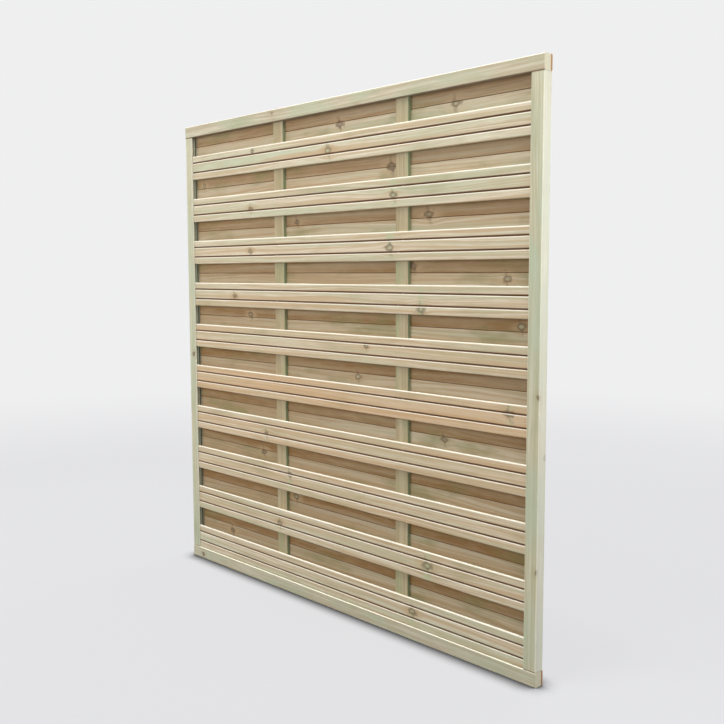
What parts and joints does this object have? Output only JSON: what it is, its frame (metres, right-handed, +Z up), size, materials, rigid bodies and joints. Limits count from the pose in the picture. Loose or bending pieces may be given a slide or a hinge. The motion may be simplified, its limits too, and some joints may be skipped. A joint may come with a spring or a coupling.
{
  "type": "fence panel",
  "caption": "Square timber fence panel: a planed frame with spaced horizontal boards on both faces, set half a pitch apart so they close each other's gaps.",
  "frame": {"origin": "middle of the bottom rail's underside, under the panel's centre", "axes": "+X to the picture's right along the rails, +Y from the front boards to the back boards, +Z up"},
  "size_m": [1.8, 0.036, 1.8],
  "materials": {
    "frame_timber": "planed, pressure treated",
    "muntin_timber": "planed, pressure treated",
    "front_board_timber": "planed, pressure treated",
    "back_board_timber": "planed, pressure treated",
    "screw_steel": "passivated zinc"
  },
  "bodies": {
    "root": {"top_rail": "frame_timber", "bottom_rail": "frame_timber", "left_stile": "frame_timber", "right_stile": "frame_timber", "left_muntin": "muntin_timber", "right_muntin": "muntin_timber", "front_board_01": "front_board_timber", "front_board_02": "front_board_timber", "front_board_03": "front_board_timber", "front_board_04": "front_board_timber", "front_board_05": "front_board_timber", "front_board_06": "front_board_timber", "front_board_07": "front_board_timber", "front_board_08": "front_board_timber", "front_board_09": "front_board_timber", "front_board_10": "front_board_timber", "back_board_01": "back_board_timber", "back_board_02": "back_board_timber", "back_board_03": "back_board_timber", "back_board_04": "back_board_timber", "back_board_05": "back_board_timber", "back_board_06": "back_board_timber", "back_board_07": "back_board_timber", "back_board_08": "back_board_timber", "back_board_09": "back_board_timber", "back_board_10": "back_board_timber", "corner_screws": "screw_steel"}
  },
  "joints": []
}
